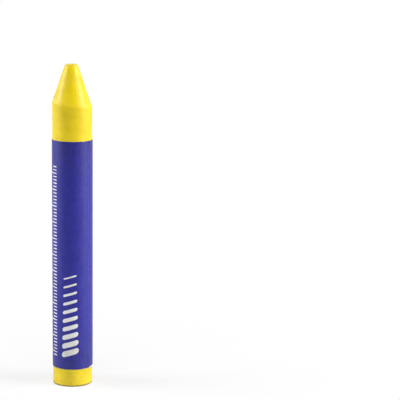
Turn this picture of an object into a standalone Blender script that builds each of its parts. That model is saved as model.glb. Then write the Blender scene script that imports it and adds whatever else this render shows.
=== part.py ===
"""Marking crayon: a cast wax stick with a blunt cone tip, wrapped in a glued paper label.

Metres. The crayon stands on its flat foot at the origin, with its axis on +Z and its tip up.
Azimuths are seen from above: 0 faces -Y and they turn towards +X.
"""

from math import ceil, cos, pi, radians, sin, sqrt, tan

import bmesh
import bpy
from mathutils import Vector

MM = 0.001
FULL_TURN = 2 * pi

# Wax stick
STICK_DIAMETER = 12.0 * MM
STICK_LENGTH = 97.8 * MM
TIP_DIAMETER = 3.8 * MM
TIP_TAPER = radians(18.8)  # between the cone's side and its axis
TIP_OFFSET = 0.16 * MM  # the flat tip's middle stands off the stick's axis, towards -X
TIP_LEAN = radians(0.5)  # the cone leans towards +X, so its base stands further off than its tip
TIP_EDGE_ROUND = 0.35 * MM
SHOULDER_ROUND = 1.0 * MM
FOOT_EDGE_ROUND = 0.4 * MM

# Paper label: one sheet, wound towards lower azimuths, so that its last edge laps over its first
FOOT_MARGIN = 5.45 * MM  # bare wax below the label, at the front
SHOULDER_MARGIN = 10.4 * MM  # bare wax between the label and the middle of the slanted shoulder
PAPER_THICKNESS = 0.06 * MM
LAP_WIDTH = 5.0 * MM
LAP_RAMP = 1.5 * MM  # the paper climbs onto its own first edge over this length
LAP_EDGE_AZIMUTH = radians(58)
WRAP_SKEW = 0.30 * MM  # how far the sheet climbs along the stick in one turn

# Glue: a strip under the sheet's first edge, and a strip inside the lap
GLUE_THICKNESS = 0.012 * MM
PICKUP_GLUE_WIDTH = 4.0 * MM
GLUE_MARGIN = 0.6 * MM  # the glue stops this far from the paper's edges
FILM_CLEARANCE = 0.004 * MM  # between a film of glue and what it holds

# Facets
FACETS_PER_TURN = 144
ROUND_SEGMENTS = 4
SHARP_EDGE = radians(30)

# Sizes that follow from those above
STICK_RADIUS = STICK_DIAMETER / 2
TIP_RADIUS = TIP_DIAMETER / 2
TIP_MIDDLE = Vector((-TIP_OFFSET, 0.0, STICK_LENGTH))
SHOULDER_HEIGHT = STICK_LENGTH - (STICK_RADIUS - TIP_RADIUS) / tan(TIP_TAPER)
GLUE_SPACE = GLUE_THICKNESS + 2 * FILM_CLEARANCE
FIRST_PLY_RADIUS = STICK_RADIUS + GLUE_SPACE
FIRST_PLY_OUTSIDE = FIRST_PLY_RADIUS + PAPER_THICKNESS
FLAP_RADIUS = FIRST_PLY_OUTSIDE + GLUE_SPACE
LAP_ANGLE = LAP_WIDTH / FLAP_RADIUS
RAMP_ANGLE = LAP_RAMP / FLAP_RADIUS
FIRST_EDGE_AZIMUTH = LAP_EDGE_AZIMUTH + LAP_ANGLE
LABEL_FOOT = FOOT_MARGIN
LABEL_HEAD = SHOULDER_HEIGHT - SHOULDER_MARGIN


def clear_scene():
    for old in list(bpy.data.objects):
        bpy.data.objects.remove(old, do_unlink=True)


def plain_material(name, linear_colour, roughness):
    material = bpy.data.materials.new(name)
    material.use_nodes = True
    shader = material.node_tree.nodes["Principled BSDF"]
    shader.inputs["Base Color"].default_value = (*linear_colour, 1.0)
    shader.inputs["Roughness"].default_value = roughness
    shader.inputs["Metallic"].default_value = 0.0
    return material


def add_piece(name, bm, material, crayon):
    """Make the mesh a named piece of the crayon, with smooth rounds and sharp edges."""
    mesh = bpy.data.meshes.new(name)
    bm.to_mesh(mesh)
    bm.free()
    mesh.shade_smooth()
    mesh.set_sharp_from_angle(angle=SHARP_EDGE)
    mesh.materials.append(material)
    piece = bpy.data.objects.new(name, mesh)
    piece.parent = crayon
    bpy.context.scene.collection.objects.link(piece)
    return piece


def around(radius, azimuth, height):
    """A point at this distance from the stick's axis."""
    return Vector((radius * sin(azimuth), -radius * cos(azimuth), height))


def cone_line(turn):
    """One straight line of the cone: from the flat tip's rim down to where it meets the stick's side."""
    outward = around(1.0, turn, 0.0)
    rim = TIP_MIDDLE + TIP_RADIUS * outward
    fall = tan(TIP_TAPER) * outward + Vector((-tan(TIP_LEAN), 0.0, -1.0))
    spread = fall.to_2d().length_squared
    headway = fall.to_2d().dot(rim.to_2d())
    to_side = STICK_RADIUS ** 2 - rim.to_2d().length_squared
    depth = (sqrt(headway ** 2 + spread * to_side) - headway) / spread
    return rim, rim + depth * fall


def closed_loop(bm, points):
    verts = [bm.verts.new(point) for point in points]
    return [bm.edges.new((vert, verts[i - 1])) for i, vert in enumerate(verts)]


def wax_stick(crayon):
    """The casting: a straight round stick whose cone stands a little askew, every edge softened."""
    lines = [cone_line(FULL_TURN * i / FACETS_PER_TURN) for i in range(FACETS_PER_TURN)]
    bm = bmesh.new()
    foot = closed_loop(bm, [Vector((side.x, side.y, 0.0)) for rim, side in lines])
    shoulder = closed_loop(bm, [side for rim, side in lines])
    tip = closed_loop(bm, [rim for rim, side in lines])
    bmesh.ops.bridge_loops(bm, edges=foot + shoulder)
    bmesh.ops.bridge_loops(bm, edges=shoulder + tip)
    bmesh.ops.contextual_create(bm, geom=foot)
    bmesh.ops.contextual_create(bm, geom=tip)
    bmesh.ops.recalc_face_normals(bm, faces=bm.faces)
    rounds = (
        (foot, FOOT_EDGE_ROUND, pi / 2),
        (shoulder, SHOULDER_ROUND, TIP_TAPER),
        (tip, TIP_EDGE_ROUND, pi / 2 - TIP_TAPER),
    )
    for edges, radius, turn in rounds:
        set_back = radius * tan(turn / 2)
        bmesh.ops.bevel(
            bm, geom=edges, offset=set_back, segments=ROUND_SEGMENTS, profile=0.5, affect="EDGES"
        )
    wax = plain_material("yellow_wax", (0.78, 0.62, 0.010), 0.42)
    return add_piece("wax_stick", bm, wax, crayon)


def rolled_strip(name, wound, heights, radius_at, thickness, material, crayon):
    """A thin strip wound round the stick between two winding angles, counted from the sheet's first edge."""
    start, end = wound
    foot, head = heights
    steps = ceil((end - start) / FULL_TURN * FACETS_PER_TURN)
    bm = bmesh.new()
    columns = []
    for i in range(steps + 1):
        winding = start + (end - start) * i / steps
        azimuth = FIRST_EDGE_AZIMUTH - winding
        climb = WRAP_SKEW * (winding - FIRST_EDGE_AZIMUTH) / FULL_TURN
        radius = radius_at(winding)
        ends = [around(radius, azimuth, height + climb) for height in (foot, head)]
        columns.append([bm.verts.new(end_point) for end_point in ends])
    for right, left in zip(columns, columns[1:]):
        bm.faces.new((left[0], right[0], right[1], left[1]))
    piece = add_piece(name, bm, material, crayon)
    body = piece.modifiers.new("thickness", "SOLIDIFY")
    body.thickness = thickness
    body.offset = 1.0
    return piece


def label_radius(winding):
    """The sheet's inner face: against the wax for one turn, then up a soft ramp onto its first edge."""
    climbed = (winding - (FULL_TURN - RAMP_ANGLE)) / RAMP_ANGLE
    climbed = min(max(climbed, 0.0), 1.0)
    soft = climbed * climbed * (3 - 2 * climbed)
    return FIRST_PLY_RADIUS + (FLAP_RADIUS - FIRST_PLY_RADIUS) * soft


def paper_label(crayon):
    wound = (0.0, FULL_TURN + LAP_ANGLE)
    heights = (LABEL_FOOT, LABEL_HEAD)
    paper = plain_material("blue_printed_paper", (0.015, 0.014, 0.290), 0.45)
    return rolled_strip("paper_label", wound, heights, label_radius, PAPER_THICKNESS, paper, crayon)


def pickup_glue(crayon):
    """Holds the sheet's first edge to the wax."""
    start = GLUE_MARGIN / FIRST_PLY_RADIUS
    wound = (start, start + PICKUP_GLUE_WIDTH / FIRST_PLY_RADIUS)
    heights = (LABEL_FOOT + GLUE_MARGIN, LABEL_HEAD - GLUE_MARGIN)
    radius = STICK_RADIUS + FILM_CLEARANCE
    glue = plain_material("pickup_glue", (0.75, 0.66, 0.45), 0.35)
    return rolled_strip("pickup_glue", wound, heights, lambda winding: radius, GLUE_THICKNESS, glue, crayon)


def lap_glue(crayon):
    """Closes the lap. The flap sits one turn's climb higher than the ply below, so the glue keeps to both."""
    margin = GLUE_MARGIN / FLAP_RADIUS
    wound = (FULL_TURN + margin, FULL_TURN + LAP_ANGLE - margin)
    heights = (LABEL_FOOT + GLUE_MARGIN, LABEL_HEAD - GLUE_MARGIN - WRAP_SKEW)
    radius = FIRST_PLY_OUTSIDE + FILM_CLEARANCE
    glue = plain_material("lap_glue", (0.78, 0.74, 0.62), 0.35)
    return rolled_strip("lap_glue", wound, heights, lambda winding: radius, GLUE_THICKNESS, glue, crayon)


def main():
    clear_scene()
    crayon = bpy.data.objects.new("marking_crayon", None)
    bpy.context.scene.collection.objects.link(crayon)
    wax_stick(crayon)
    paper_label(crayon)
    pickup_glue(crayon)
    lap_glue(crayon)


main()
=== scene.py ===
"""Looks of a marking crayon: a cast stick of yellow wax in a lapped, printed paper label, on a white sweep.

Metres. The crayon stands on its foot at the origin, tip up. Azimuth 0 faces -Y and turns towards +X.
"""

from math import cos, pi, radians, sin, sqrt, tan

import bmesh
import bpy
from mathutils import Matrix, Vector, noise


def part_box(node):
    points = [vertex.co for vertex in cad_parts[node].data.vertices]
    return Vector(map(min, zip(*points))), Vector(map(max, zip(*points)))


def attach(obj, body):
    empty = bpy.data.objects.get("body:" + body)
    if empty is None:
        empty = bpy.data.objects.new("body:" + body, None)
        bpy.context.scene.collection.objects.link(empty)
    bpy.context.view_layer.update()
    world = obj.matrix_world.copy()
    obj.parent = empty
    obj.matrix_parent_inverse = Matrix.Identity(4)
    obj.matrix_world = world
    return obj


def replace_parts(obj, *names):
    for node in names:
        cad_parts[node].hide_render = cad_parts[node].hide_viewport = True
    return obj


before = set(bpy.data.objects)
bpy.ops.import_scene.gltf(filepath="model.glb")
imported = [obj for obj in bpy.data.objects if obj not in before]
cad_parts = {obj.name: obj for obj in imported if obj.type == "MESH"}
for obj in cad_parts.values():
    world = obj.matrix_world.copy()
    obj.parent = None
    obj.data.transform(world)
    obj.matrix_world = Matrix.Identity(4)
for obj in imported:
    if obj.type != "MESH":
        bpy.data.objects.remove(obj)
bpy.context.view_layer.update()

MM = 0.001
FULL_TURN = 2 * pi

# Wax stick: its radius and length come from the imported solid.
# The edges of its foot and tip are crisper than the solid's.
stick_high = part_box("wax_stick")[1]
STICK_RADIUS = stick_high.x
STICK_LENGTH = stick_high.z
TIP_RADIUS = 1.90 * MM
TIP_TAPER = radians(18.8)
TIP_LEAN = radians(0.5)
TIP_OFFSET = 0.16 * MM
TIP_MIDDLE = Vector((-TIP_OFFSET, 0.0, STICK_LENGTH))
FOOT_SET_BACK = 0.22 * MM
SHOULDER_SET_BACK = 0.16 * MM
TIP_SET_BACK = 0.15 * MM

# Unevenness of the casting, always into the wax
SWELL_SIZE = 9.0 * MM
SWELL_DEPTH = 0.030 * MM
DIMPLE_SIZE = 2.2 * MM
DIMPLE_DEPTH = 0.012 * MM
CHILL_RING_SIZE = 1.3 * MM
CHILL_RING_DEPTH = 0.010 * MM
CHILL_RING_TILT = 0.1  # how fast the rings change across the stick, next to how fast they change along it
TIP_WEAR_DEPTH = 0.05 * MM
TIP_WEAR_REACH = 1.2 * MM  # down the cone
TIP_WEAR_INSIDE = 0.3  # share of the tip's radius that stays unworn
TIP_WEAR_SPREAD = 0.3  # the higher, the more of the rim is worn
NICKS = (
    # azimuth in degrees, height, radius, depth
    (-38.0, 86.2 * MM, 0.9 * MM, 0.07 * MM),
    (24.0, 84.6 * MM, 0.7 * MM, 0.05 * MM),
    (150.0, 85.6 * MM, 1.1 * MM, 0.08 * MM),
    (-112.0, 78.8 * MM, 0.8 * MM, 0.05 * MM),
    (205.0, 2.2 * MM, 1.0 * MM, 0.07 * MM),
    (12.0, 0.5 * MM, 0.8 * MM, 0.09 * MM),
    (-70.0, 0.6 * MM, 0.7 * MM, 0.10 * MM),
)

# Patterns in the wax
PIGMENT_CLOUD = 4.0 * MM
RUBBED_PATCH = 2.5 * MM
DIRT_FLECK = 0.9 * MM
FINE_RING = 0.9 * MM
FINE_RING_DEPTH = 0.014 * MM
FINE_RING_TILT = 0.08
WAX_GRAIN = 0.7 * MM  # finer in real wax: drawn coarser, so that it shows
WAX_GRAIN_DEPTH = 0.016 * MM
AIR_PIT_SPACING = 2.4 * MM
AIR_PIT_SLOPE = (0.03, 0.07)  # from its bottom to its rim, as shares of that spacing
AIR_PIT_DEPTH = 0.05 * MM

# Heights between which the finish of the wax changes, and between which the painted bounce light and contact
# shade at its foot fade out
# painted contact shade: the bottom rim turns dark brown below these heights, where the foot meets the floor
RIM_SHADE_BAND = (0.22 * MM, 0.58 * MM)
# painted floor bounce light, partly a real chalky scuff: the foot is paler below these heights
CHALKY_AND_BOUNCE_LIT_FOOT = (3.0 * MM, 7.0 * MM)
DIRTY_FOOT = (3.0 * MM, 15.0 * MM)
GLOSSY_CONE = (85.0 * MM, 87.0 * MM)

# How strong each finish of the wax is, and the painted bounce light and contact shade at its foot: shares of
# a colour, roughness, and the levels of noise that show
# share of pale cream at the foot: partly chalky scuffing, partly painted light bounced up from the floor
FOOT_CHALK_AND_BOUNCE_LIGHT = 0.018
PATCH_PALENESS = 0.01
PATCH_LEVELS = (0.5, 0.75)
DIRT_SHARE = (0.20, 0.07)  # at the foot, and above it
DIRT_LEVELS = (0.56, 0.74)
# share of dark brown on the bottom rim: painted contact shade where the foot meets the floor
RIM_SHADE_SHARE = 0.92
WAX_ROUGHNESS = (0.38, 0.56)  # smooth, and rubbed
CONE_POLISH = 0.9  # share of that roughness

# Paper label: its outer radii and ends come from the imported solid
label_low, label_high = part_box("paper_label")
PLY_OUTSIDE = -label_low.x
FLAP_OUTSIDE = label_high.x
PAPER_THICKNESS = 0.06 * MM
LAP_WIDTH = 5.0 * MM
LAP_RAMP = 1.5 * MM
LAP_EDGE_AZIMUTH = radians(58)
WRAP_SKEW = 0.30 * MM  # how far the sheet climbs in one turn
LAP_ANGLE = LAP_WIDTH / (FLAP_OUTSIDE - PAPER_THICKNESS)
RAMP_ANGLE = LAP_RAMP / (FLAP_OUTSIDE - PAPER_THICKNESS)
FIRST_EDGE_AZIMUTH = LAP_EDGE_AZIMUTH + LAP_ANGLE
WOUND = FULL_TURN + LAP_ANGLE
SHEET_LENGTH = WOUND * PLY_OUTSIDE
SHEET_HEIGHT = label_high.z - label_low.z - WRAP_SKEW * WOUND / FULL_TURN

# The sheet's head is cut out of square: it drops over the last stretch,
# which levels the flap with the ply below
OUT_OF_SQUARE = 0.30 * MM
OUT_OF_SQUARE_LENGTH = 13.0 * MM

# How the paper lies: it cockles towards the wax, and the flap's edge is pressed down,
# apart from its two corners, which lift
COCKLE_SIZE = 8.0 * MM
COCKLE_DEPTH = 0.014 * MM
COCKLE_ONSET = 3.0 * MM  # past the lap, they grow to their depth over this length
EDGE_PRESSED = 0.016 * MM
EDGE_PRESSED_REACH = 0.6 * MM
EDGE_CRUSHED = 0.55  # share of the paper's thickness that is lost at the flap's edge
EDGE_CRUSHED_REACH = 0.35 * MM
FLAP_LIFT = 0.05 * MM
FLAP_LIFT_REACH = 1.4 * MM
FLAP_LIFT_TOP = 3.0 * MM
FLAP_LIFT_FOOT = 5.0 * MM
FLAP_FULLY_LOOSE = 0.25  # share of those two heights, next to the corner

# Print on the flat sheet, in millimetres: along it from its first edge and up it from its foot.
# The first end takes the flap's glue, so it has no ink.
UNPRINTED_END = 4.6
# Strokes that grow thicker towards the foot, beside a plain scale of millimetres.
STROKES_MIDDLE = 11.4
STROKE_HALF_LENGTH = 1.75
STROKES_FOOT = 4.0
STROKE_PITCH = 2.6
STROKE_COUNT = 10
STROKE_THICKEST = 1.8
STROKE_THINNEST = 0.45
STROKE_SLANT = 0.30
SCALE_START = 16.0
SCALE_STEP = 1.0
SCALE_LONG_STEP = 5.0
SCALE_TICK = 1.8
SCALE_LONG_TICK = 3.2
SCALE_LINE = 0.32
SCALE_FOOT = 4.0
SCALE_HEAD = 62.0

# Patterns and wear on the flat sheet, in millimetres
INK_MOTTLE = 1.4
SHEEN_WAVE = 6.0
PAPER_FIBRE = 0.6  # real fibres are some 0.03 mm thick: drawn coarser, so that they show
GRIME_PATCH = 3.0
GRIME_REACH = (0.5, 14.0)  # from the sheet's ends
GRIME_SHARE = (0.40, 0.03)  # at the ends, and away from them
GRIME_LEVELS = (0.32, 0.68)
GRIME_THINNEST = 0.2
RUBBED_INK_PATCH = 0.6
RUBBED_INK_REACH = 0.16
RUBBED_INK_LEVELS = (0.54, 0.78)
RUBBED_INK_FADE = 0.12  # how fast the rub along the flap's edge dies out, away from its corners

# Finish of the printed paper
INK_ROUGHNESS = (0.46, 0.56)
SHEEN_WAVE_DEPTH = 0.35 * MM
PAPER_FIBRE_DEPTH = 0.020 * MM

# Patterns of the bare paper and the glue
CORE_FIBRE = 0.4 * MM  # drawn coarser too
GLUE_BUBBLE = 0.5 * MM

# Fineness of the meshes
STICK_COLUMNS = 192
STICK_CUTS = (5, 120, 36, 5)  # foot, side, cone, tip
STICK_ROUND_CUTS = 6
LABEL_COLUMNS = 220
LABEL_ROWS = 150
FLAP_EDGE_GAPS = (0.45 * MM, 0.35 * MM, 0.25 * MM, 0.16 * MM, 0.08 * MM, 0.0)  # columns near the flap's edge
FLAP_EDGE_CLEAR = 0.01  # least angle between those columns and the even ones
LABEL_SHARP_EDGE = radians(40)
BARE_SLOT = 1  # of the label's two materials

# Stage
SWEEP_RADIUS = 8.0
SWEEP_SIDES = 96
SWEEP_SHADED = (0.02, 0.09)  # distances from the crayon with the most of its own shading and with none
SWEEP_SHADE = 0.30
SWEEP_FADE = (-0.25, -0.05)  # places in front of the crayon between which its reflection fades out
SWEEP_FADED = 0.1
WALL_RISE = (-0.1, 0.4)  # a direction's part towards the back: dim up to the first, white from the second
ROOM_LIGHT = 0.04  # from all round, and all that a reflection shows of the room in front
SOFT_BOX_DISTANCE = 0.7
SOFT_BOXES = (
    # name, azimuth and elevation in degrees, width and height, watts
    ("right_soft_box", 79, 19, (0.36, 0.36), 5.2),
    ("left_soft_box", -88, 22, (0.34, 0.40), 4.05),
    ("top_soft_box", 0, 72, (0.40, 0.40), 2.5),
)
CAMERA_PLACE = (38.48 * MM, -500.0 * MM, 152.02 * MM)
CAMERA_TILT = radians(90 - 10.737)  # 90 is level
CAMERA_ROLL = radians(0.702)
CAMERA_NEAR = 0.01
CAMERA_FAR = 50.0
LENS_MM = 152.07
SENSOR_MM = 36.0


def around(radius, azimuth, height):
    """A point at this distance from the stick's axis."""
    return Vector((radius * sin(azimuth), -radius * cos(azimuth), height))


def smooth(low, high, value):
    """0 at low and before it, 1 at high and past it, and a soft rise between them."""
    share = min(max((value - low) / (high - low), 0.0), 1.0)
    return share * share * (3 - 2 * share)


def uneven(place):
    """Soft noise from 0 to 1."""
    return 0.5 + 0.5 * noise.noise(place)


def add_piece(name, bm, materials):
    mesh = bpy.data.meshes.new(name)
    bm.to_mesh(mesh)
    bm.free()
    for material in materials:
        mesh.materials.append(material)
    piece = bpy.data.objects.new(name, mesh)
    bpy.context.scene.collection.objects.link(piece)
    return piece


# Materials

# Sockets of the mix node: share, two numbers, two colours, and the colour that comes out
SHARE, FIRST_NUMBER, SECOND_NUMBER, FIRST, SECOND, MIXED = 0, 2, 3, 6, 7, 2
# Sockets of the map range node
IN_LOW, IN_HIGH, OUT_LOW, OUT_HIGH = 1, 2, 3, 4
# Most of a noise texture lies between these
NOISE_LOW, NOISE_HIGH = 0.3, 0.7


def linear(colour):
    """Linear RGBA of an sRGB hex colour."""
    parts = [int(colour[i:i + 2], 16) / 255 for i in (1, 3, 5)]
    return (*(c / 12.92 if c <= 0.04045 else ((c + 0.055) / 1.055) ** 2.4 for c in parts), 1.0)


def join(tree, node, inputs):
    """Link or set a node's inputs: a node stands for its first output."""
    for place, value in inputs.items():
        if isinstance(value, bpy.types.Node):
            value = value.outputs[0]
        if isinstance(value, bpy.types.NodeSocket):
            tree.links.new(value, node.inputs[place])
        else:
            node.inputs[place].default_value = value


def add(tree, kind, inputs, **settings):
    """Add one node with its settings and links."""
    node = tree.nodes.new(kind)
    for name, value in settings.items():
        setattr(node, name, value)
    join(tree, node, inputs)
    return node


def new_material(name):
    material = bpy.data.materials.new(name)
    material.use_nodes = True
    return material, material.node_tree, material.node_tree.nodes["Principled BSDF"]


def wax_colour(tree, place, height, rubbed):
    """Soft clouds of pigment, pale rubbed patches, a paler foot that is partly chalky scuffing and partly
    painted floor bounce light, flecks of dirt towards the foot, and a rim of painted contact shade.
    """
    clouds = add(tree, "ShaderNodeTexNoise", {"Vector": place, "Scale": 1 / PIGMENT_CLOUD, "Detail": 4.0})
    clouds = add(tree, "ShaderNodeMapRange", {"Value": clouds, IN_LOW: NOISE_LOW, IN_HIGH: NOISE_HIGH})
    clouded = add(
        tree, "ShaderNodeMix",
        {SHARE: clouds, FIRST: linear("#DAC002"), SECOND: linear("#EBD208")},
        data_type="RGBA",
    )
    # painted light, partly real: the foot turns paler, for chalky scuffing and for light bounced up from the
    # floor
    foot = add(tree, "ShaderNodeMapRange", {
        "Value": height, IN_LOW: CHALKY_AND_BOUNCE_LIT_FOOT[0], IN_HIGH: CHALKY_AND_BOUNCE_LIT_FOOT[1],
        OUT_LOW: FOOT_CHALK_AND_BOUNCE_LIGHT, OUT_HIGH: 0.0,
    })
    pale = add(tree, "ShaderNodeMapRange", {
        "Value": rubbed, IN_LOW: PATCH_LEVELS[0], IN_HIGH: PATCH_LEVELS[1],
        OUT_LOW: 0.0, OUT_HIGH: PATCH_PALENESS,
    })
    pale = add(tree, "ShaderNodeMath", {0: pale, 1: foot}, operation="ADD")
    # this cream mix carries the rubbed patches and the painted bounce light at the foot
    chalk_and_bounce_lit = add(
        tree, "ShaderNodeMix",
        {SHARE: pale, FIRST: clouded.outputs[MIXED], SECOND: linear("#F6F0D8")},
        data_type="RGBA",
    )
    fleck = add(tree, "ShaderNodeTexNoise", {"Vector": place, "Scale": 1 / DIRT_FLECK, "Detail": 3.0})
    fleck = add(tree, "ShaderNodeMapRange", {
        "Value": fleck, IN_LOW: DIRT_LEVELS[0], IN_HIGH: DIRT_LEVELS[1],
    })
    handled = add(tree, "ShaderNodeMapRange", {
        "Value": height, IN_LOW: DIRTY_FOOT[0], IN_HIGH: DIRTY_FOOT[1],
        OUT_LOW: DIRT_SHARE[0], OUT_HIGH: DIRT_SHARE[1],
    })
    dirt = add(tree, "ShaderNodeMath", {0: fleck, 1: handled}, operation="MULTIPLY")
    flecked = add(
        tree, "ShaderNodeMix",
        {SHARE: dirt, FIRST: chalk_and_bounce_lit.outputs[MIXED], SECOND: linear("#937512")},
        data_type="RGBA",
    )
    # painted shade: the bottom rim darkens to brown as contact shade where the foot meets the floor
    rim = add(tree, "ShaderNodeMapRange", {
        "Value": height, IN_LOW: RIM_SHADE_BAND[0], IN_HIGH: RIM_SHADE_BAND[1], OUT_LOW: RIM_SHADE_SHARE, OUT_HIGH: 0.0,
    })
    rim_shaded = add(
        tree, "ShaderNodeMix",
        {SHARE: rim, FIRST: flecked.outputs[MIXED], SECOND: linear("#5E4A14")},
        data_type="RGBA",
    )
    return rim_shaded.outputs[MIXED]


def wax_relief(tree, place):
    """Faint level rings where the wax chilled as the mould filled, a fine grain, and tiny pits of air."""
    tilt = (FINE_RING_TILT, FINE_RING_TILT, 1.0)
    level = add(tree, "ShaderNodeVectorMath", {0: place, 1: tilt}, operation="MULTIPLY")
    rings = add(tree, "ShaderNodeTexNoise", {"Vector": level, "Scale": 1 / FINE_RING, "Detail": 2.0})
    grain = add(tree, "ShaderNodeTexNoise", {"Vector": place, "Scale": 1 / WAX_GRAIN, "Detail": 3.0})
    pits = add(tree, "ShaderNodeTexVoronoi", {"Vector": place, "Scale": 1 / AIR_PIT_SPACING})
    pits = add(tree, "ShaderNodeMapRange", {
        "Value": pits.outputs["Distance"], IN_LOW: AIR_PIT_SLOPE[0], IN_HIGH: AIR_PIT_SLOPE[1],
    })
    ringed = add(tree, "ShaderNodeBump", {"Height": rings, "Strength": 0.6, "Distance": FINE_RING_DEPTH})
    grained = add(tree, "ShaderNodeBump", {
        "Height": grain, "Strength": 0.8, "Distance": WAX_GRAIN_DEPTH, "Normal": ringed,
    })
    return add(tree, "ShaderNodeBump", {
        "Height": pits, "Strength": 0.7, "Distance": AIR_PIT_DEPTH, "Normal": grained,
    })


def cast_wax():
    """Pigmented paraffin wax, cast in a smooth mould: satin, a little glossier on the cone.

    Light goes a little way into it, which softens its shading, and rubbed patches are duller.
    """
    material, tree, shader = new_material("cast_pigmented_wax")
    place = add(tree, "ShaderNodeTexCoord", {}).outputs["Object"]
    height = add(tree, "ShaderNodeSeparateXYZ", {0: place}).outputs["Z"]
    rubbed = add(tree, "ShaderNodeTexNoise", {"Vector": place, "Scale": 1 / RUBBED_PATCH, "Detail": 4.0})
    dullness = add(tree, "ShaderNodeMapRange", {
        "Value": rubbed, IN_LOW: NOISE_LOW, IN_HIGH: NOISE_HIGH,
        OUT_LOW: WAX_ROUGHNESS[0], OUT_HIGH: WAX_ROUGHNESS[1],
    })
    polish = add(tree, "ShaderNodeMapRange", {
        "Value": height, IN_LOW: GLOSSY_CONE[0], IN_HIGH: GLOSSY_CONE[1],
        OUT_LOW: 1.0, OUT_HIGH: CONE_POLISH,
    })
    dullness = add(tree, "ShaderNodeMath", {0: dullness, 1: polish}, operation="MULTIPLY")
    join(tree, shader, {
        "Base Color": wax_colour(tree, place, height, rubbed),
        "Roughness": dullness,
        "Normal": wax_relief(tree, place),
        "IOR": 1.44,
        "Specular IOR Level": 0.5,
        "Subsurface Weight": 0.25,
        "Subsurface Radius": (1.0, 0.6, 0.1),
        "Subsurface Scale": 0.6 * MM,
    })
    return material


def growing_strokes(tree, along, up):
    """Round-ended slanted strokes, one above the other, each thicker than the one above it."""
    aside = add(tree, "ShaderNodeMath", {0: along, 1: STROKES_MIDDLE}, operation="SUBTRACT")
    raised = add(tree, "ShaderNodeMath", {0: up, 1: STROKES_FOOT}, operation="SUBTRACT")
    raised = add(tree, "ShaderNodeMath", {0: aside, 1: STROKE_SLANT, 2: raised}, operation="MULTIPLY_ADD")
    step = add(tree, "ShaderNodeMath", {0: raised, 1: STROKE_PITCH}, operation="SNAP")
    off_line = add(tree, "ShaderNodeMath", {0: raised, 1: step}, operation="SUBTRACT")
    off_line = add(tree, "ShaderNodeMath", {0: off_line, 1: STROKE_PITCH / 2}, operation="SUBTRACT")
    past_end = add(tree, "ShaderNodeMath", {0: aside}, operation="ABSOLUTE")
    past_end = add(tree, "ShaderNodeMath", {0: past_end, 1: STROKE_HALF_LENGTH}, operation="SUBTRACT")
    past_end = add(tree, "ShaderNodeMath", {0: past_end, 1: 0.0}, operation="MAXIMUM")
    away = add(tree, "ShaderNodeCombineXYZ", {"X": past_end, "Y": off_line})
    away = add(tree, "ShaderNodeVectorMath", {0: away}, operation="LENGTH").outputs["Value"]
    ladder = STROKE_PITCH * STROKE_COUNT
    half_thick = add(tree, "ShaderNodeMapRange", {
        "Value": step, IN_LOW: 0.0, IN_HIGH: ladder - STROKE_PITCH,
        OUT_LOW: STROKE_THICKEST / 2, OUT_HIGH: STROKE_THINNEST / 2,
    })
    stroke = add(tree, "ShaderNodeMath", {0: away, 1: half_thick}, operation="LESS_THAN")
    inside = add(tree, "ShaderNodeMath", {0: raised, 1: ladder / 2, 2: ladder / 2}, operation="COMPARE")
    return add(tree, "ShaderNodeMath", {0: stroke, 1: inside}, operation="MULTIPLY")


def millimetre_scale(tree, along, up):
    """A tick at every millimetre, and a longer one at every fifth."""
    to_tick = add(tree, "ShaderNodeMath", {0: up, 1: SCALE_STEP / 2}, operation="PINGPONG")
    to_fifth = add(tree, "ShaderNodeMath", {0: up, 1: SCALE_LONG_STEP / 2}, operation="PINGPONG")
    tick = add(tree, "ShaderNodeMath", {0: to_tick, 1: SCALE_LINE / 2}, operation="LESS_THAN")
    fifth = add(tree, "ShaderNodeMath", {0: to_fifth, 1: SCALE_STEP / 2}, operation="LESS_THAN")
    length = add(tree, "ShaderNodeMapRange", {
        "Value": fifth, OUT_LOW: SCALE_TICK, OUT_HIGH: SCALE_LONG_TICK,
    })
    out = add(tree, "ShaderNodeMath", {0: along, 1: SCALE_START}, operation="SUBTRACT")
    begun = add(tree, "ShaderNodeMath", {0: out, 1: 0.0}, operation="GREATER_THAN")
    going_on = add(tree, "ShaderNodeMath", {0: out, 1: length}, operation="LESS_THAN")
    middle, half = (SCALE_FOOT + SCALE_HEAD) / 2, (SCALE_HEAD - SCALE_FOOT) / 2
    inside = add(tree, "ShaderNodeMath", {0: up, 1: middle, 2: half + SCALE_LINE}, operation="COMPARE")
    across = add(tree, "ShaderNodeMath", {0: begun, 1: going_on}, operation="MULTIPLY")
    marked = add(tree, "ShaderNodeMath", {0: tick, 1: inside}, operation="MULTIPLY")
    return add(tree, "ShaderNodeMath", {0: across, 1: marked}, operation="MULTIPLY")


def rubbed_edges(tree, sheet, to_end, along):
    """Where ink is rubbed off to the white paper: along the sheet's two ends and at the flap's corners."""
    to_seam = add(tree, "ShaderNodeMath", {0: SHEET_LENGTH / MM, 1: along}, operation="SUBTRACT")
    to_corner = add(
        tree, "ShaderNodeMath", {0: to_end, 1: RUBBED_INK_FADE, 2: to_seam}, operation="MULTIPLY_ADD"
    )
    to_edge = add(tree, "ShaderNodeMath", {0: to_end, 1: to_corner}, operation="MINIMUM")
    ragged = add(tree, "ShaderNodeTexNoise", {"Vector": sheet, "Scale": 1 / RUBBED_INK_PATCH, "Detail": 5.0})
    reach = add(tree, "ShaderNodeMapRange", {
        "Value": ragged, IN_LOW: RUBBED_INK_LEVELS[0], IN_HIGH: RUBBED_INK_LEVELS[1],
        OUT_LOW: 0.0, OUT_HIGH: RUBBED_INK_REACH,
    })
    return add(tree, "ShaderNodeMath", {0: to_edge, 1: reach}, operation="LESS_THAN")


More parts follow.
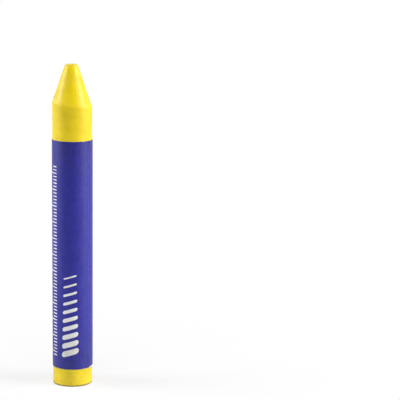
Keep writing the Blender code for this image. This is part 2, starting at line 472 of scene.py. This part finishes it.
def print_colour(tree, sheet):
    """Mottled blue ink, white where it is left out or rubbed off, and grime from hands towards both ends."""
    place = add(tree, "ShaderNodeSeparateXYZ", {0: sheet}).outputs
    along, up = place["X"], place["Y"]
    mottle = add(tree, "ShaderNodeTexNoise", {"Vector": sheet, "Scale": 1 / INK_MOTTLE, "Detail": 4.0})
    mottle = add(tree, "ShaderNodeMapRange", {"Value": mottle, IN_LOW: NOISE_LOW, IN_HIGH: NOISE_HIGH})
    ink = add(
        tree, "ShaderNodeMix",
        {SHARE: mottle, FIRST: linear("#191887"), SECOND: linear("#25249B")},
        data_type="RGBA",
    )
    strokes = growing_strokes(tree, along, up)
    scale = millimetre_scale(tree, along, up)
    to_end = add(tree, "ShaderNodeMath", {0: up, 1: SHEET_HEIGHT / MM / 2}, operation="PINGPONG")
    rubbed = rubbed_edges(tree, sheet, to_end, along)
    margin = add(tree, "ShaderNodeMath", {0: along, 1: UNPRINTED_END}, operation="LESS_THAN")
    left_out = add(tree, "ShaderNodeMath", {0: strokes, 1: scale}, operation="MAXIMUM")
    left_out = add(tree, "ShaderNodeMath", {0: left_out, 1: margin}, operation="MAXIMUM")
    white = add(tree, "ShaderNodeMath", {0: left_out, 1: rubbed}, operation="MAXIMUM")
    printed = add(
        tree, "ShaderNodeMix",
        {SHARE: white, FIRST: ink.outputs[MIXED], SECOND: linear("#E9E8E4")},
        data_type="RGBA",
    )
    grime = add(tree, "ShaderNodeTexNoise", {"Vector": sheet, "Scale": 1 / GRIME_PATCH, "Detail": 5.0})
    grime = add(tree, "ShaderNodeMapRange", {
        "Value": grime, IN_LOW: GRIME_LEVELS[0], IN_HIGH: GRIME_LEVELS[1],
        OUT_LOW: GRIME_THINNEST, OUT_HIGH: 1.0,
    })
    handled = add(tree, "ShaderNodeMapRange", {
        "Value": to_end, IN_LOW: GRIME_REACH[0], IN_HIGH: GRIME_REACH[1],
        OUT_LOW: GRIME_SHARE[0], OUT_HIGH: GRIME_SHARE[1],
    })
    grime = add(tree, "ShaderNodeMath", {0: grime, 1: handled}, operation="MULTIPLY")
    grimy = add(
        tree, "ShaderNodeMix",
        {SHARE: grime, FIRST: printed.outputs[MIXED], SECOND: linear("#201E18")},
        data_type="RGBA",
    )
    return grimy.outputs[MIXED]


def printed_paper():
    """Label paper, offset printed in a solid satin blue: its sheen waves softly and shows some fibre."""
    material, tree, shader = new_material("blue_printed_label_paper")
    sheet = add(tree, "ShaderNodeAttribute", {}, attribute_name="sheet").outputs["Vector"]
    fibre = add(tree, "ShaderNodeTexNoise", {"Vector": sheet, "Scale": 1 / PAPER_FIBRE, "Detail": 2.0})
    dullness = add(tree, "ShaderNodeMapRange", {
        "Value": fibre, IN_LOW: NOISE_LOW, IN_HIGH: NOISE_HIGH,
        OUT_LOW: INK_ROUGHNESS[0], OUT_HIGH: INK_ROUGHNESS[1],
    })
    wave = add(tree, "ShaderNodeTexNoise", {"Vector": sheet, "Scale": 1 / SHEEN_WAVE, "Detail": 1.0})
    waved = add(tree, "ShaderNodeBump", {"Height": wave, "Strength": 1.0, "Distance": SHEEN_WAVE_DEPTH})
    fibred = add(tree, "ShaderNodeBump", {
        "Height": fibre, "Strength": 0.6, "Distance": PAPER_FIBRE_DEPTH, "Normal": waved,
    })
    join(tree, shader, {
        "Base Color": print_colour(tree, sheet),
        "Roughness": dullness,
        "Normal": fibred,
        "IOR": 1.5,
        "Specular IOR Level": 0.5,
    })
    return material


def bare_paper():
    """The uncoated core and back of the label: a matt, slightly mottled white."""
    material, tree, shader = new_material("white_paper_core")
    place = add(tree, "ShaderNodeTexCoord", {}).outputs["Object"]
    fibre = add(tree, "ShaderNodeTexNoise", {"Vector": place, "Scale": 1 / CORE_FIBRE, "Detail": 3.0})
    colour = add(
        tree, "ShaderNodeMix",
        {SHARE: fibre, FIRST: linear("#DAD7CC"), SECOND: linear("#EEECE4")},
        data_type="RGBA",
    )
    join(tree, shader, {"Base Color": colour.outputs[MIXED], "Roughness": 0.85, "IOR": 1.5})
    return material


def dried_glue():
    """Dextrin label glue, dried to a thin amber film with tiny bubbles."""
    material, tree, shader = new_material("dried_dextrin_glue")
    place = add(tree, "ShaderNodeTexCoord", {}).outputs["Object"]
    bubbles = add(tree, "ShaderNodeTexVoronoi", {"Vector": place, "Scale": 1 / GLUE_BUBBLE})
    colour = add(
        tree, "ShaderNodeMix",
        {SHARE: bubbles.outputs["Distance"], FIRST: linear("#E8DDBE"), SECOND: linear("#CDB887")},
        data_type="RGBA",
    )
    join(tree, shader, {"Base Color": colour.outputs[MIXED], "Roughness": 0.35, "IOR": 1.47})
    return material


# Pieces


def rounded_line(corners, set_backs, cuts, round_cuts):
    """Points along the runs between corners, with each inner corner turned in a soft curve."""
    points = []
    for i, (start, end) in enumerate(zip(corners, corners[1:])):
        along = (end - start).normalized()
        first = start + along * set_backs[i]
        last = end - along * set_backs[i + 1]
        points += [first.lerp(last, k / cuts[i]) for k in range(cuts[i] + 1)]
        if i + 2 < len(corners):
            after = (corners[i + 2] - end).normalized()
            leave = end + after * set_backs[i + 1]
            for k in range(1, round_cuts):
                t = k / round_cuts
                points.append(last.lerp(end, t).lerp(end.lerp(leave, t), t))
    return points


def stick_line(turn):
    """The stick's outline on one side, from the middle of its foot to the middle of its tip."""
    outward = around(1.0, turn, 0.0)
    rim = TIP_MIDDLE + TIP_RADIUS * outward
    fall = tan(TIP_TAPER) * outward + Vector((-tan(TIP_LEAN), 0.0, -1.0))
    spread = fall.to_2d().length_squared
    headway = fall.to_2d().dot(rim.to_2d())
    to_side = STICK_RADIUS ** 2 - rim.to_2d().length_squared
    shoulder = rim + fall * (sqrt(headway ** 2 + spread * to_side) - headway) / spread
    corners = [Vector(), Vector((shoulder.x, shoulder.y, 0.0)), shoulder, rim, TIP_MIDDLE]
    set_backs = (0.0, FOOT_SET_BACK, SHOULDER_SET_BACK, TIP_SET_BACK, 0.0)
    return rounded_line(corners, set_backs, STICK_CUTS, STICK_ROUND_CUTS)


def wax_sunk(point):
    """How far the real casting lies inside its true form at this point."""
    level = Vector((point.x * CHILL_RING_TILT, point.y * CHILL_RING_TILT, point.z))
    sunk = SWELL_DEPTH * uneven(point / SWELL_SIZE)
    sunk += DIMPLE_DEPTH * uneven(point / DIMPLE_SIZE)
    sunk += CHILL_RING_DEPTH * uneven(level / CHILL_RING_SIZE)
    near_tip = smooth(STICK_LENGTH - TIP_WEAR_REACH, STICK_LENGTH, point.z)
    near_rim = smooth(TIP_WEAR_INSIDE, 1.0, (point - TIP_MIDDLE).to_2d().length / TIP_RADIUS)
    patches = max(0.0, noise.noise(point / TIP_RADIUS) + TIP_WEAR_SPREAD)
    sunk += TIP_WEAR_DEPTH * near_tip * near_rim * patches
    for azimuth, height, radius, depth in NICKS:
        away = (point - around(STICK_RADIUS, radians(azimuth), height)).length / radius
        if away < 1:
            sunk += depth * (1 - away * away) ** 2
    return sunk


def cast_stick():
    """The wax casting, with its off-centre cone, worn tip and softened edges."""
    bm = bmesh.new()
    lines = [stick_line(FULL_TURN * i / STICK_COLUMNS) for i in range(STICK_COLUMNS)]
    foot = bm.verts.new(lines[0][0])
    tip = bm.verts.new(lines[0][-1])
    columns = [[bm.verts.new(point) for point in line[1:-1]] for line in lines]
    for i, right in enumerate(columns):
        left = columns[i - 1]
        bm.faces.new((foot, right[0], left[0]))
        bm.faces.new((tip, left[-1], right[-1]))
        for k in range(len(right) - 1):
            bm.faces.new((left[k], right[k], right[k + 1], left[k + 1]))
    bm.normal_update()
    moved = [vert.co - vert.normal * wax_sunk(vert.co) for vert in bm.verts]
    for vert, place in zip(bm.verts, moved):
        vert.co = place
    piece = add_piece("cast_wax_stick", bm, [cast_wax()])
    piece.data.shade_smooth()
    return piece


def sheet_inside(winding, height):
    """The radius of the label's inner face: on the wax, up over its first edge, and out at loose corners."""
    climbed = smooth(FULL_TURN - RAMP_ANGLE, FULL_TURN, winding)
    radius = PLY_OUTSIDE + (FLAP_OUTSIDE - PLY_OUTSIDE) * climbed - PAPER_THICKNESS
    along = winding * PLY_OUTSIDE
    free = smooth(LAP_WIDTH, LAP_WIDTH + COCKLE_ONSET, along) * (1 - climbed)
    radius -= COCKLE_DEPTH * free * uneven(Vector((along, height, 0.0)) / COCKLE_SIZE)
    to_edge = SHEET_LENGTH - along
    loose = max(
        smooth(SHEET_HEIGHT - FLAP_LIFT_TOP, SHEET_HEIGHT - FLAP_LIFT_TOP * FLAP_FULLY_LOOSE, height),
        smooth(FLAP_LIFT_FOOT, FLAP_LIFT_FOOT * FLAP_FULLY_LOOSE, height),
    )
    radius -= EDGE_PRESSED * (1 - loose) * (1 - smooth(0.0, EDGE_PRESSED_REACH, to_edge))
    return radius + FLAP_LIFT * loose * (1 - smooth(0.0, FLAP_LIFT_REACH, to_edge))


def label_windings():
    """Angles wound from the first edge to each column: even steps, then close ones at the flap's edge."""
    close = [WOUND - gap / PLY_OUTSIDE for gap in FLAP_EDGE_GAPS]
    even = [WOUND * i / LABEL_COLUMNS for i in range(LABEL_COLUMNS)]
    return [winding for winding in even if winding < close[0] - FLAP_EDGE_CLEAR] + close


def label_column(bm, sheet, winding):
    """The inner and outer points of one column, from foot to head, each with its place on the flat sheet."""
    azimuth = FIRST_EDGE_AZIMUTH - winding
    to_edge = SHEET_LENGTH - winding * PLY_OUTSIDE
    crushed = 1 - smooth(0.0, EDGE_CRUSHED_REACH, to_edge)
    thickness = PAPER_THICKNESS * (1 - EDGE_CRUSHED * crushed)
    foot = label_low.z + WRAP_SKEW * winding / FULL_TURN
    cut_height = SHEET_HEIGHT - OUT_OF_SQUARE * smooth(OUT_OF_SQUARE_LENGTH, 0.0, to_edge)
    inner, outer = [], []
    for k in range(LABEL_ROWS + 1):
        height = cut_height * k / LABEL_ROWS
        radius = sheet_inside(winding, height)
        for column, face in ((inner, radius), (outer, radius + thickness)):
            vert = bm.verts.new(around(face, azimuth, foot + height))
            vert[sheet] = Vector((winding * PLY_OUTSIDE, height, 0.0)) / MM
            column.append(vert)
    return inner, outer


def rolled_label():
    """The printed sheet, wound one turn and a lap, a little askew, and bare at its back and cut edges."""
    bm = bmesh.new()
    sheet = bm.verts.layers.float_vector.new("sheet")
    columns = [label_column(bm, sheet, winding) for winding in label_windings()]
    bare = []
    for (inner, outer), (next_inner, next_outer) in zip(columns, columns[1:]):
        for k in range(LABEL_ROWS):
            bm.faces.new((next_outer[k], outer[k], outer[k + 1], next_outer[k + 1]))
            bare.append(bm.faces.new((inner[k], next_inner[k], next_inner[k + 1], inner[k + 1])))
        bare.append(bm.faces.new((inner[0], outer[0], next_outer[0], next_inner[0])))
        bare.append(bm.faces.new((next_inner[-1], next_outer[-1], outer[-1], inner[-1])))
    first_inner, first_outer = columns[0]
    last_inner, last_outer = columns[-1]
    for right, left in ((first_inner, first_outer), (last_outer, last_inner)):
        for k in range(LABEL_ROWS):
            bare.append(bm.faces.new((right[k], right[k + 1], left[k + 1], left[k])))
    for face in bare:
        face.material_index = BARE_SLOT
    piece = add_piece("rolled_paper_label", bm, [printed_paper(), bare_paper()])
    piece.data.shade_smooth()
    piece.data.set_sharp_from_angle(angle=LABEL_SHARP_EDGE)
    return piece


# Stage


def seen_rays(tree):
    """Two shares of 0 or 1: what the camera sees straight, and what it sees straight or in a reflection."""
    path = add(tree, "ShaderNodeLightPath", {}).outputs
    straight = path["Is Camera Ray"]
    seen = add(tree, "ShaderNodeMath", {0: straight, 1: path["Is Glossy Ray"]}, operation="MAXIMUM")
    seen = add(tree, "ShaderNodeMath", {0: seen, 1: path["Is Transmission Ray"]}, operation="MAXIMUM")
    return straight, seen


def floor():
    """A white sweep: some of its own shading shows near the crayon, and further off it is plain white.

    In reflections it fades out towards the front, where a real sweep ends.
    """
    bm = bmesh.new()
    bmesh.ops.create_circle(bm, cap_ends=True, radius=SWEEP_RADIUS, segments=SWEEP_SIDES)
    material = bpy.data.materials.new("white_sweep")
    material.use_nodes = True
    tree = material.node_tree
    tree.nodes.clear()
    place = add(tree, "ShaderNodeTexCoord", {}).outputs["Object"]
    away = add(tree, "ShaderNodeVectorMath", {0: place}, operation="LENGTH").outputs["Value"]
    near = add(tree, "ShaderNodeMapRange", {
        "Value": away, IN_LOW: SWEEP_SHADED[0], IN_HIGH: SWEEP_SHADED[1],
        OUT_LOW: SWEEP_SHADE, OUT_HIGH: 0.0,
    })
    straight, seen = seen_rays(tree)
    front = add(tree, "ShaderNodeSeparateXYZ", {0: place}).outputs["Y"]
    lit = add(tree, "ShaderNodeMapRange", {
        "Value": front, IN_LOW: SWEEP_FADE[0], IN_HIGH: SWEEP_FADE[1], OUT_LOW: SWEEP_FADED, OUT_HIGH: 1.0,
    })
    strength = add(tree, "ShaderNodeMath", {0: straight, 1: lit}, operation="MAXIMUM")
    white = add(tree, "ShaderNodeEmission", {"Color": linear("#FFFFFF"), "Strength": strength})
    paper = add(tree, "ShaderNodeBsdfDiffuse", {"Color": linear("#F0F0F0")})
    shown = add(tree, "ShaderNodeMixShader", {0: near, 1: white, 2: paper})
    bounced = add(tree, "ShaderNodeBsdfDiffuse", {"Color": linear("#EDEDED")})
    either = add(tree, "ShaderNodeMixShader", {0: seen, 1: bounced, 2: shown})
    add(tree, "ShaderNodeOutputMaterial", {"Surface": either})
    sweep = add_piece("white_sweep", bm, [material])


def soft_box(name, azimuth, elevation, size, power):
    """A rectangular lamp that faces the middle of the crayon."""
    lamp = bpy.data.lights.new(name, "AREA")
    lamp.shape = "RECTANGLE"
    lamp.size, lamp.size_y = size
    lamp.energy = power
    middle = Vector((0.0, 0.0, STICK_LENGTH / 2))
    out, rise = SOFT_BOX_DISTANCE * cos(elevation), SOFT_BOX_DISTANCE * sin(elevation)
    place = middle + around(out, azimuth, rise)
    holder = bpy.data.objects.new(name, lamp)
    holder.location = place
    holder.rotation_euler = (place - middle).to_track_quat("Z", "Y").to_euler()
    bpy.context.scene.collection.objects.link(holder)


def studio():
    """A soft box at each side and a weaker one high in front, in a dim room with a white background.

    The camera sees white all round. Reflections see white behind the crayon and the dim room in front of it.
    """
    for name, azimuth, elevation, size, power in SOFT_BOXES:
        soft_box(name, radians(azimuth), radians(elevation), size, power)
    world = bpy.data.worlds.new("studio")
    world.use_nodes = True
    tree = world.node_tree
    way = add(tree, "ShaderNodeTexCoord", {}).outputs["Generated"]
    back = add(tree, "ShaderNodeSeparateXYZ", {0: way}).outputs["Y"]
    wall = add(tree, "ShaderNodeMapRange", {
        "Value": back, IN_LOW: WALL_RISE[0], IN_HIGH: WALL_RISE[1], OUT_LOW: ROOM_LIGHT, OUT_HIGH: 1.0,
    })
    straight, seen = seen_rays(tree)
    strength = add(tree, "ShaderNodeMix", {SHARE: seen, FIRST_NUMBER: ROOM_LIGHT, SECOND_NUMBER: wall})
    strength = add(tree, "ShaderNodeMath", {0: straight, 1: strength}, operation="MAXIMUM")
    join(tree, tree.nodes["Background"], {"Color": linear("#FFFFFF"), "Strength": strength})
    bpy.context.scene.world = world
    bpy.context.scene.view_settings.view_transform = "Standard"


def camera():
    """A long lens, a little above the crayon and aimed to its right, as the photograph was framed."""
    lens = bpy.data.cameras.new("camera")
    lens.sensor_width = SENSOR_MM
    lens.lens = LENS_MM
    lens.clip_start = CAMERA_NEAR
    lens.clip_end = CAMERA_FAR
    holder = bpy.data.objects.new("camera", lens)
    place = Matrix.Translation(CAMERA_PLACE)
    tilt = Matrix.Rotation(CAMERA_TILT, 4, "X")
    roll = Matrix.Rotation(CAMERA_ROLL, 4, "Z")
    holder.matrix_world = place @ tilt @ roll
    bpy.context.scene.collection.objects.link(holder)
    bpy.context.scene.camera = holder


def main():
    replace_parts(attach(cast_stick(), "root"), "wax_stick")
    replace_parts(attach(rolled_label(), "root"), "paper_label")
    glue = dried_glue()
    for node in ("pickup_glue", "lap_glue"):
        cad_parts[node].material_slots[0].material = glue
    floor()
    studio()
    camera()


main()
